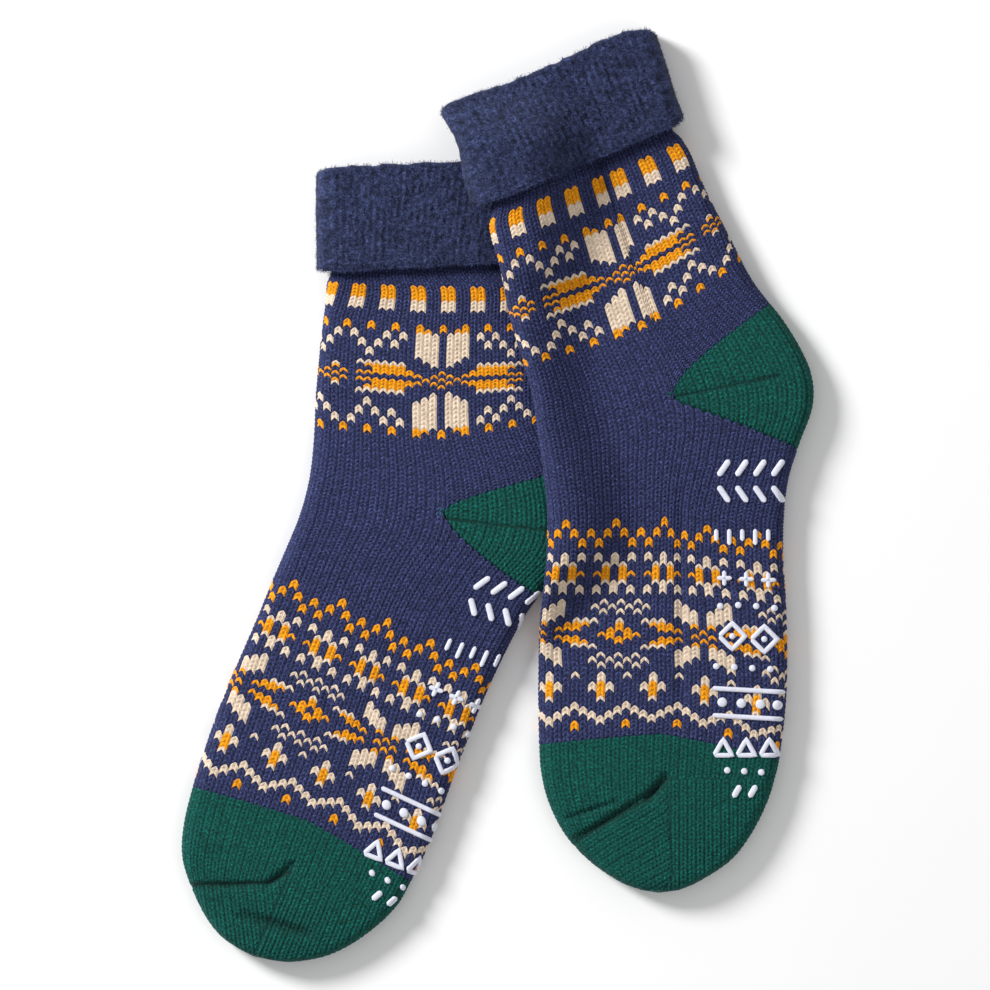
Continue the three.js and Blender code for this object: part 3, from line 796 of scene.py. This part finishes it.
def toe_piece(sock):
    """The toe: courses follow its edge to the seam, then run square to the pocket's two halves."""
    seam = to_plan(sock.toe_seam)
    mitre = to_plan(sock.toe_mitre)
    point = seam[0]
    down = np.array(sock.toe_down) / math.hypot(*sock.toe_down)
    side = np.array([-down[1], down[0]])
    seam_way = (seam[-1] - point) / np.hypot(*(seam[-1] - point))

    def boundary(g):
        return course_station(sock.foot_rows, FOOT_END, g)

    def upper(g):
        return boundary(g) - TOE_TUCK

    def lower(g):
        return np.full_like(g, sock.length + TOE_TIP)

    def field(s, g, t):
        g = wrapped(g)
        xy = sock.unfolded(np.minimum(t, sock.last), g)
        past_seam = side_of(xy, seam, down)
        past_level = (xy - point) @ down
        right_half = side_of(xy, mitre, side) > 0
        wale = HALF_WALES * g + TOP_WALE - row_value(sock.foot_rows, "shift", FOOT_END)
        course = (s - boundary(g)) / STITCH_HIGH
        left_part = (past_seam > 0) & ~right_half
        right_part = (past_level > 0) & right_half
        across_seam = (xy - point) @ seam_way / STITCH_WIDE
        if sock.toe_turned:
            wale = np.where(left_part, past_seam / STITCH_WIDE, wale)
            course = np.where(left_part, across_seam * STITCH_WIDE / STITCH_HIGH, course)
        else:
            wale = np.where(left_part, across_seam, wale)
            course = np.where(left_part, past_seam / STITCH_HIGH, course)
        wale = np.where(right_part, (xy - point) @ side / STITCH_WIDE, wale)
        course = np.where(right_part, past_level / STITCH_HIGH, course)
        mark = np.exp(-((line_gap(xy, seam) / TOE_SEAM_MARK) ** 2))
        mark = np.maximum(mark, 0.6 * np.exp(-((line_gap(xy, mitre) / TOE_MITRE_MARK) ** 2)))
        return wale, course, mark

    def dip(s, g):
        inside = s - boundary(g) - 0.4
        return SEAM_TUCK * (1 - smooth(inside / SEAM_BLEND + 0.5))

    fine = np.linspace(-POCKET_SIDE, POCKET_SIDE, TOE_COLUMNS[0])
    coarse = np.linspace(POCKET_SIDE, 4 - POCKET_SIDE, TOE_COLUMNS[1])
    rows = 2 + math.ceil((sock.length + TOE_CAP - np.min(upper(fine))) / POCKET_STEP)
    return pocket(sock, sock.name + "_toe_knit", (fine, coarse), rows, (upper, lower), field, dip)


# Cuffs
CUFF_OUT = 4.3
CUFF_WALL = 3.2
CUFF_STEPS = 6
FOLD_DEPTH = 3.0
FOLD_REACH = 16.0  # how far below the fold its roundings reach
PILE_CLUMPS = 0.45
PILE_SWELLS = 0.5
FIBRES = 12000
FIBRE_WALES = (-1.5, 33.5)
FIBRE_LENGTH = (0.7, 1.9)
FIBRE_RISE = (0.2, 0.6)
FIBRE_WIDTH = (0.06, 0.12)
FUZZ_LEAST_LIFT = 0.05  # a fibre stands only where the pile rises by this much


def value_noise(x, y, seed):
    """Smooth noise from -1 to 1 over whole-number cells."""
    ix, iy = np.floor(x), np.floor(y)
    fx, fy = smooth(x - ix), smooth(y - iy)
    a = hashed(ix, iy, seed)
    b = hashed(ix + 1, iy, seed)
    c = hashed(ix, iy + 1, seed)
    d = hashed(ix + 1, iy + 1, seed)
    return 2 * ((a * (1 - fx) + b * fx) * (1 - fy) + (c * (1 - fx) + d * fx) * fy) - 1


def cuff_profile(sock):
    """Stations down from the fold and distances outside the leg, from the lower edge outside, over the
    fold, and down the inside."""
    drop = math.hypot(*(sock.rows[0, 0:2] - sock.rows[1, 0:2]))
    profile = [(drop, 0.4), (drop + 0.5, 1.2), (drop + 0.4, 2.6), (drop - 0.4, 3.7)]
    for down in np.arange(drop - 1.2, 3.4, -0.7):
        profile.append((down, CUFF_OUT))
    for angle in np.linspace(0, math.pi, 9):
        outwards = math.cos(angle)
        middle = (CUFF_OUT - CUFF_WALL) / 2
        out = middle + (CUFF_OUT + CUFF_WALL) / 2 * outwards
        profile.append((FOLD_DEPTH - FOLD_DEPTH * math.sin(angle), out))
    for down in np.arange(4.0, drop * 1.15, 2.0):
        profile.append((down, -CUFF_WALL))
    return drop, np.array(profile)


def corner_cut(c, radius, start):
    """How far a corner that is rounded from place start on is cut back at place c."""
    bend = np.clip((np.abs(c) - start) / (1 - start), 0, 1)
    return radius * (1 - np.sqrt(1 - bend ** 2 * 0.999))


def cuff_surface(sock, drop, down, out, v):
    """Points of the cuff and the height of their pile, from -1 to 1. Its corners are rounded."""
    g = (v - TOP_WALE + 1.0) / HALF_WALES
    c = folded_place(g)
    share = down / drop
    near_fold = np.clip(1 - down / FOLD_REACH, 0, 1)
    radius, start = np.moveaxis(np.where(c[..., None] < 0, *sock.cuff_corners), -1, 0)
    rounded = corner_cut(c, radius, start) * near_fold ** 1.5
    raised = corner_cut(c, *sock.cuff_lower) * smooth((share - 0.5) / 0.5)
    wave = 0.7 * value_noise(v / 5.0, 0 * v, sock.seed + 3)
    wave = wave + 0.35 * value_noise(v / 2.0, 0 * v, sock.seed + 4)
    hang = sock.cuff_hang[0] + (sock.cuff_hang[1] - sock.cuff_hang[0]) * (c + 1) / 2
    hang = hang * np.where(out > -1, 1.0, 0.0) * np.clip(share, 0, 1.0) ** 2
    rise = sock.cuff_rise * smooth((c + 0.2) / 0.9) * near_fold
    bumps = 0.6 * value_noise(v * 0.9, 0 * v, sock.seed + 5) * near_fold ** 3
    down = down + rounded - raised + hang - rise + bumps + wave * np.clip(share, 0, 1.1) ** 3
    share = down / drop
    clump = 0.6 * value_noise(v * 2.0, down / 1.5, sock.seed)
    clump = clump + 0.5 * value_noise(v * 4.3, down / 0.8, sock.seed + 1)
    soft = 0.5 * value_noise(v / 2.2, down / 7.0, sock.seed + 2)
    pile = np.clip(clump + 0.25 * np.cos(2 * math.pi * v), -1, 1)
    top = np.clip((1.1 - np.abs(wrapped(g))) / 0.15, 0, 1)
    outside = np.clip(out / 2.0, 0, 1)
    points = sock.place(share, g, out + (PILE_CLUMPS * pile + PILE_SWELLS * soft) * outside * top)
    way = sock.rows[1, 2:4] - sock.rows[1, 0:2]
    way = way / math.hypot(*way)
    flare = sock.cuff_flare * np.clip(-c, 0, 1) ** 4 * smooth((share - 0.25) / 0.6) * (out > -1)
    points[..., 0:2] -= flare[..., None] * way
    return points, pile


def pile_mottle_and_shade(pile, tone):
    # Painted shade and light: the colour follows the pile's height, lower is darker; tone adds a random
    # mottle.
    share = np.clip(0.42 + 0.42 * pile + tone, 0, 1)[..., None]
    return PILE_DARK_AND_SHADED + (PILE_LIGHT_AND_LIT - PILE_DARK_AND_SHADED) * share


def cuff_piece(sock):
    drop, profile = cuff_profile(sock)
    v = np.arange(0, WALES * CUFF_STEPS) / CUFF_STEPS
    down, grid_v = np.meshgrid(profile[:, 0], v, indexing="ij")
    out = np.broadcast_to(profile[:, 1][:, None], down.shape)
    grid, pile = cuff_surface(sock, drop, down, out, grid_v)
    faces = grid_quads(*down.shape, closed=True)[:, ::-1]
    spots = hashed(np.floor(grid_v * 3), np.floor(down * 1.3), sock.seed + 8) - 0.5
    # The inside wall is painted at 0.6 of the pile's colour: painted shade inside the tube.
    colour = pile_mottle_and_shade(pile, 0.25 * spots) * np.where(out > -1, 1.0, 0.6)[..., None]
    return make_object(sock.name + "_cuff_pile", grid.reshape(-1, 3), faces, colour.reshape(-1, 3)[faces])


def fuzz_piece(sock):
    """Short brushed fibres standing out of the cuff."""
    count = FIBRES
    rng = np.random.default_rng(sock.seed)
    drop, _ = cuff_profile(sock)
    v = rng.uniform(*FIBRE_WALES, count)
    at_fold = at_edge = count // 8
    down = np.concatenate([
        rng.uniform(0.0, drop + 0.3, count - at_fold - at_edge),
        rng.uniform(0.0, FOLD_DEPTH, at_fold),
        rng.uniform(drop - 1.0, drop + 0.5, at_edge),
    ])
    safe = np.clip(down, 0.0, drop + 0.4)
    fold = np.clip(1 - ((FOLD_DEPTH - safe) / 3.3) ** 2, 0, 1)
    out = np.where(safe < FOLD_DEPTH, 0.6 + (CUFF_OUT - 0.6) * np.sqrt(fold), CUFF_OUT)
    base, pile = cuff_surface(sock, drop, safe, out - 0.15, v)
    lifted, _ = cuff_surface(sock, drop, np.where(safe < 2.0, safe - 0.7, safe), out + 0.7, v)
    normal = lifted - base
    size = np.linalg.norm(normal, axis=1)
    free = size > FUZZ_LEAST_LIFT
    normal = normal / np.maximum(size, FUZZ_LEAST_LIFT)[:, None]
    lean = rng.normal(0, 1, (count, 3))
    lean -= normal * np.sum(lean * normal, axis=1)[:, None]
    lean /= np.linalg.norm(lean, axis=1)[:, None]
    length = rng.uniform(*FIBRE_LENGTH, count)[:, None]
    rise = rng.uniform(*FIBRE_RISE, count)[:, None]
    width = rng.uniform(*FIBRE_WIDTH, count)[:, None]
    side = np.cross(normal, lean)
    curl = rng.normal(0, 0.4, (count, 1))
    middle = base + (lean * 0.5 + side * curl * 0.3) * length + normal * rise * 0.8 * length
    tip = base + (lean * 0.9 + side * curl) * length + normal * rise * length
    points = np.stack([base - side * width, base + side * width, middle + side * width * 0.8,
                       middle - side * width * 0.8, tip + side * width * 0.3, tip - side * width * 0.3],
                      axis=1)[free].reshape(-1, 3)
    points[:, 2] = np.maximum(points[:, 2], LOWEST)
    first = np.arange(np.count_nonzero(free))[:, None] * 6
    quads = np.concatenate([first + np.array([[0, 1, 2, 3]]), first + np.array([[3, 2, 4, 5]])])
    # Fibres are mostly painted lighter than the pile: partly painted sheen, partly random tone; they also
    # carry the pile's painted shade and light.
    colour = pile_mottle_and_shade(pile, rng.uniform(-0.1, 0.5, count))[free]
    corners = np.repeat(colour[:, None, :], 4, axis=1)
    return make_object(sock.name + "_cuff_fuzz", points, quads, np.concatenate([corners, corners]))


# The grip print: raised rubber lines and dots along the sole edge. A line is a list of plan pixels on the
# right sock; the left sock carries the same print, set a little further out.
GRIP_HEIGHT = 0.85
GRIP_ROOT = -0.5  # the lower edge of the rubber, inside the cloth
GRIP_STEP = 0.5
GRIP_STROKE = 6.3
GRIP_CORNER_CLEAR = 0.6
GRIP_BLUNT = 1.12
GRIP_THIN = 0.8  # widths of the thinner strokes, as shares of the widest
GRIP_THINNEST = 0.75
GRIP_CENTRE = 3.2  # radius of the dot in a diamond
GRIP_DIAMOND = 13.0
GRIP_CROSS_ARM = 7.5
GRIP_DOT = 3.4
GRIP_STUD = 5.0
GRIP_SLANTS = [[(718 + 18 * i, 476), (729 + 18 * i, 460)] for i in range(4)]
GRIP_SLANTS += [[(718 + 18 * i, 486), (729 + 18 * i, 502)] for i in range(4)]
GRIP_SLANTS += [[(733 + 16 * i, 797), (740 + 16 * i, 785)] for i in range(2)]
GRIP_TRIANGLES = [[(x, 755), (x + 9, 739), (x + 18, 755), (x, 755)] for x in (714, 737, 760)]
GRIP_DIAMONDS = [(732, 636), (764, 639)]
GRIP_BARS = [[(716 + 13 * i, 541 + 4 * (i % 2)), (716 + 13 * i, 529)] for i in range(5)]
GRIP_CROSSES = [(724, 578), (746, 579), (768, 580)]
GRIP_DOTS = [(720, 606), (738, 605), (756, 606), (774, 608), (716, 666), (734, 667), (752, 668), (770, 669),
             (727, 770), (744, 771), (761, 772)]
GRIP_RAILS = [[(712, 688), (784, 692)], [(712, 715), (782, 719)]]
GRIP_STUDS = [(722, 702), (741, 703), (760, 704), (777, 705)]

# The left print starts at a station and has a length. Its shifts along the sock and towards the edge each
# have a part that is the same all over, one that grows along the print, and one at the toe.
LEFT_PRINT_FROM, LEFT_PRINT_LENGTH = 185.0, 105.0
LEFT_PRINT_ALONG = (-5.0, 0.5, -0.8)
LEFT_PRINT_INWARDS = (-4.5, -2.0, 1.9)


def on_sock(sock, pixels):
    """Row and place round the sock of plan pixels; past its outline they go on round the folded edge."""
    t, across = sock.inverse(to_plan(pixels))
    _, _, half_width, half, _ = sock.section(t)
    reach = sock.reach(t)
    across = across * reach
    flat = half_width - half
    round_edge = half * np.arcsin(np.clip((np.abs(across) - flat) / half, 0, 1))
    beyond = np.maximum(0, np.abs(across) - half_width)
    e = np.where(np.abs(across) <= flat, across, np.sign(across) * (flat + round_edge + beyond))
    return t, e / reach


def grip_points(sock, pixels, height):
    t, g = on_sock(right, pixels)
    if sock is left:
        s = np.interp(t, right.t_table, right.s_table)
        inside = (1 - g) * right.reach(t)
        share = (s - LEFT_PRINT_FROM) / LEFT_PRINT_LENGTH
        at_toe = smooth((share - 0.4) / 0.5)
        level, growth, end = LEFT_PRINT_ALONG
        t = sock.t_at(s + level + growth * share + end * at_toe)
        level, growth, end = LEFT_PRINT_INWARDS
        g = 1 - (inside + level + growth * share + end * at_toe) / sock.reach(t)
    return sock.place(t, g, height * np.clip((1.7 - g) / 0.4, 0.2, 1))


def stroke(sock, line, width):
    """A raised rounded bead along a line of pixels."""
    line = np.array(line, float)
    steps = np.hypot(*np.diff(line, axis=0).T)
    along = np.concatenate([[0.0], np.cumsum(steps)])
    spots = np.unique(np.concatenate([np.arange(0, along[-1], GRIP_STEP / MM_PER_PIXEL), along]))
    for corner in along[1:-1]:
        gap = np.abs(spots - corner)
        spots = spots[(gap < 1e-6) | (gap > GRIP_CORNER_CLEAR * width)]
    x, y = np.interp(spots, along, line[:, 0]), np.interp(spots, along, line[:, 1])
    way = np.diff(line, axis=0) / steps[:, None]
    segment = np.clip(np.searchsorted(along, spots, side="right") - 1, 0, len(way) - 1)
    before = np.clip(np.searchsorted(along, spots - 1e-6, side="right") - 1, 0, len(way) - 1)
    square = np.stack([-way[:, 1], way[:, 0]], axis=1)
    normal = square[segment] + square[before]
    normal /= np.hypot(normal[:, 0], normal[:, 1])[:, None]
    miter = 1 / np.maximum(0.5, np.sum(normal * square[segment], axis=1))
    near_end = np.maximum(0, width / 2 - np.minimum(spots, along[-1] - spots)) / (width / 2)
    ends = np.sqrt(np.clip(1 - near_end ** 2, 0.02, 1))
    profile = np.array([-1.0, -0.88, -0.45, 0.0, 0.45, 0.88, 1.0])
    shoulder = GRIP_HEIGHT - 0.25
    heights = np.array([GRIP_ROOT, shoulder, GRIP_HEIGHT, GRIP_HEIGHT, GRIP_HEIGHT, shoulder, GRIP_ROOT])
    turn = way[before, 0] * way[segment, 1] - way[before, 1] * way[segment, 0]
    inner = profile[None, :] * turn[:, None] > 0
    miter = np.where(inner, miter[:, None], np.minimum(miter, GRIP_BLUNT)[:, None])
    reach = profile[None, :] * (width / 2) * miter * ends[:, None]
    px = x[:, None] + normal[:, 0:1] * reach
    py = y[:, None] + normal[:, 1:2] * reach
    points = grip_points(sock, np.stack([px.ravel(), py.ravel()], axis=1), np.tile(heights, len(spots)))
    return points, grid_quads(len(spots), len(profile))


def stud(sock, x, y, radius):
    """A raised round dot."""
    turns = 20
    angle = np.arange(turns) * 2 * math.pi / turns
    rings = [(1.0, GRIP_ROOT), (0.93, GRIP_HEIGHT - 0.3), (0.6, GRIP_HEIGHT), (0.01, GRIP_HEIGHT + 0.05)]
    points, height = [], []
    for share, h in rings:
        ring_x, ring_y = x + radius * share * np.cos(angle), y + radius * share * np.sin(angle)
        points.append(np.stack([ring_x, ring_y], axis=1))
        height.append(np.full(turns, h))
    grid = grip_points(sock, np.vstack(points), np.concatenate(height))
    return grid, grid_quads(len(rings), turns, closed=True)[:, ::-1]


def grip_piece(sock):
    thin, thinnest = GRIP_STROKE * GRIP_THIN, GRIP_STROKE * GRIP_THINNEST
    parts = [stroke(sock, line, GRIP_STROKE) for line in GRIP_SLANTS]
    parts += [stroke(sock, line, thin) for line in GRIP_TRIANGLES]
    for x, y in GRIP_DIAMONDS:
        turns = ((-1, 0), (0, -1), (1, 0), (0, 1), (-1, 0))
        corners = [(x + GRIP_DIAMOND * dx, y + GRIP_DIAMOND * dy) for dx, dy in turns]
        parts.append(stroke(sock, corners, thin))
        parts.append(stud(sock, x, y, GRIP_CENTRE))
    parts += [stroke(sock, line, thinnest) for line in GRIP_BARS]
    for x, y in GRIP_CROSSES:
        parts.append(stroke(sock, [(x - GRIP_CROSS_ARM, y), (x + GRIP_CROSS_ARM, y)], thinnest))
        parts.append(stroke(sock, [(x, y - GRIP_CROSS_ARM), (x, y + GRIP_CROSS_ARM)], thinnest))
    parts += [stroke(sock, line, thin) for line in GRIP_RAILS]
    parts += [stud(sock, x, y, GRIP_DOT) for x, y in GRIP_DOTS]
    parts += [stud(sock, x, y, GRIP_STUD) for x, y in GRIP_STUDS]
    return make_object(sock.name + "_grip_print", *joined(parts))


# Materials
def new_material(name, roughness=0.9, sheen=0.3, tint=(1, 1, 1)):
    material = bpy.data.materials.new(name)
    material.use_nodes = True
    tree = material.node_tree
    shader = tree.nodes["Principled BSDF"]
    shader.inputs["Roughness"].default_value = roughness
    shader.inputs["Specular IOR Level"].default_value = 0.2
    shader.inputs["Sheen Weight"].default_value = sheen
    shader.inputs["Sheen Roughness"].default_value = 0.5
    shader.inputs["Sheen Tint"].default_value = (*tint, 1)
    return material, tree, shader


def noise(tree, scale, detail=2.0):
    coordinates = tree.nodes.new("ShaderNodeTexCoord")
    node = tree.nodes.new("ShaderNodeTexNoise")
    node.inputs["Scale"].default_value = scale
    node.inputs["Detail"].default_value = detail
    tree.links.new(coordinates.outputs["Object"], node.inputs["Vector"])
    return node.outputs["Fac"]


def spread(tree, value, low, high, out_low, out_high):
    node = tree.nodes.new("ShaderNodeMapRange")
    node.inputs["From Min"].default_value = low
    node.inputs["From Max"].default_value = high
    node.inputs["To Min"].default_value = out_low
    node.inputs["To Max"].default_value = out_high
    tree.links.new(value, node.inputs["Value"])
    return node.outputs["Result"]


def mixed(tree, kind, factor, first, second):
    node = tree.nodes.new("ShaderNodeMix")
    node.data_type = "RGBA"
    node.blend_type = kind
    for socket, value in (("Factor", factor), ("A", first), ("B", second)):
        target = [i for i in node.inputs if i.name == socket and i.enabled][0]
        if isinstance(value, bpy.types.NodeSocket):
            tree.links.new(value, target)
        elif socket == "Factor":
            target.default_value = value
        else:
            target.default_value = (*value, 1)
    return [o for o in node.outputs if o.enabled][0]


def bump(tree, shader, height, strength, distance):
    node = tree.nodes.new("ShaderNodeBump")
    node.inputs["Strength"].default_value = strength
    node.inputs["Distance"].default_value = distance
    tree.links.new(height, node.inputs["Height"])
    tree.links.new(node.outputs["Normal"], shader.inputs["Normal"])


def yarn_material(name, scale, contrast, sheen, relief):
    """Wool: the corner's colour, which is the stitch's own colour with painted shade and light laid in,
    heathered by fine fibres in the share that its corner gives.
    """
    material, tree, shader = new_material(name, sheen=sheen, tint=(0.7, 0.78, 1.0))
    attribute = tree.nodes.new("ShaderNodeVertexColor")
    attribute.layer_name = "yarn"
    fine = spread(tree, noise(tree, scale, 4.0), 0.36, 0.64, 1 - contrast, 1 + contrast)
    speck = spread(tree, noise(tree, scale * 0.6, 3.0), 0.52, 0.66, 0.0, 0.75)
    grey = tree.nodes.new("ShaderNodeCombineColor")
    for channel in ("Red", "Green", "Blue"):
        tree.links.new(fine, grey.inputs[channel])
    base = mixed(tree, "MULTIPLY", 1.0, attribute.outputs["Color"], grey.outputs["Color"])
    brighter = mixed(tree, "MULTIPLY", 1.0, base, (1.75, 1.75, 1.75))
    light = mixed(tree, "ADD", 1.0, brighter, (0.005, 0.008, 0.014))
    heather = mixed(tree, "MIX", speck, base, light)
    colour = mixed(tree, "MIX", attribute.outputs["Alpha"], attribute.outputs["Color"], heather)
    tree.links.new(colour, shader.inputs["Base Color"])
    bump(tree, shader, noise(tree, scale * 1.2, 3.0), 0.5, relief)
    return material


def rubber_material():
    material, tree, shader = new_material("white_rubber", roughness=0.5, sheen=0.0)
    tone = spread(tree, noise(tree, 700.0, 3.0), 0.35, 0.65, 0.0, 1.0)
    colour = mixed(tree, "MIX", tone, tuple(RUBBER * 0.88), tuple(RUBBER))
    tree.links.new(colour, shader.inputs["Base Color"])
    bump(tree, shader, noise(tree, 900.0, 2.0), 0.4, 0.0002)
    return material


def floor_material():
    material, tree, shader = new_material("pale_floor", roughness=0.8, sheen=0.0)
    colour = spread(tree, noise(tree, 3.0), 0.3, 0.7, 0.89, 0.91)
    tree.links.new(colour, shader.inputs["Base Color"])
    return material


# Camera straight above, floor and light
bpy.context.scene.view_settings.view_transform = "Standard"
bpy.context.scene.view_settings.look = "None"
camera_data = bpy.data.cameras.new("camera")
camera = bpy.data.objects.new("camera", camera_data)
bpy.context.scene.collection.objects.link(camera)
bpy.context.scene.camera = camera
camera_data.sensor_fit = "HORIZONTAL"
camera_data.sensor_width = 36.0
frame_width = IMAGE_SIZE * MM_PER_PIXEL * MM
camera_data.lens = camera_data.sensor_width * (CAMERA_HEIGHT - PLANE_HEIGHT) / frame_width
camera.location = (((IMAGE_SIZE / 2 - PIXEL_ORIGIN[0]) * MM_PER_PIXEL + PAIR_SHIFT[0]) * MM,
                   PAIR_SHIFT[1] * MM, CAMERA_HEIGHT)

floor_mesh = bpy.data.meshes.new("floor")
floor_corners = [(x * FLOOR_REACH, y * FLOOR_REACH, 0) for x, y in ((-1, -1), (1, -1), (1, 1), (-1, 1))]
floor_mesh.from_pydata(floor_corners, [], [(0, 1, 2, 3)])
floor = bpy.data.objects.new("floor", floor_mesh)
bpy.context.scene.collection.objects.link(floor)
floor_mesh.materials.append(floor_material())

world = bpy.data.worlds.new("studio")
bpy.context.scene.world = world
world.use_nodes = True
background = world.node_tree.nodes["Background"]
background.inputs["Color"].default_value = (1.0, 1.0, 1.0, 1)
background.inputs["Strength"].default_value = 0.5


def area_light(name, place, size, energy):
    data = bpy.data.lights.new(name, "AREA")
    data.shape = "DISK"
    data.size = size
    data.energy = energy
    light = bpy.data.objects.new(name, data)
    light.location = place
    bpy.context.scene.collection.objects.link(light)
    aim = math.sqrt(place[0] ** 2 + place[1] ** 2)
    light.rotation_euler = (0, math.atan2(aim, place[2]), math.atan2(place[1], place[0]))
    return light


area_light("key", place=(-1.45, 0.95, 1.05), size=0.6, energy=52.0)
area_light("fill", place=(1.2, -0.8, 1.9), size=1.4, energy=5.0)

yarn = yarn_material("wool_yarn", scale=1500.0, contrast=0.65, sheen=0.06, relief=0.0004)
pile = yarn_material("brushed_pile", scale=1300.0, contrast=0.6, sheen=0.1, relief=0.0006)
rubber = rubber_material()

def dress(piece, material, slot, *nodes):
    piece.data.materials.append(material)
    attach(piece, "root")
    if nodes:
        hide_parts(*nodes)


for sock in (left, right):
    name = sock.name
    body = name + "_leg_and_foot"
    leg = knit_tube(sock.under_cuff(), sock.leg_rows, sock.leg_gathers, LEG_START, LEG_END, leg_chart,
                    name + "_leg_knit")
    foot = knit_tube(sock, sock.foot_rows, sock.foot_gathers, FOOT_START, FOOT_END, foot_chart,
                     name + "_foot_knit")
    heel = heel_piece(sock)
    toe = toe_piece(sock)
    cuff = cuff_piece(sock)
    fuzz = fuzz_piece(sock)
    grip = grip_piece(sock)
    for piece, slot, node, flat in (
        (leg, "navy_knit", body, (0.215, 0.112)),
        (foot, "navy_knit", body, (0.235, 0.135)),
        (heel, "green_knit", name + "_heel", (0.118, 0.045)),
        (toe, "green_knit", name + "_toe", (0.19, 0.06)),
    ):
        dress(piece, yarn, slot, node)
    dress(cuff, pile, "navy_pile", name + "_cuff")
    dress(fuzz, pile, "navy_pile", name + "_cuff")
    dress(grip, rubber, "navy_knit")
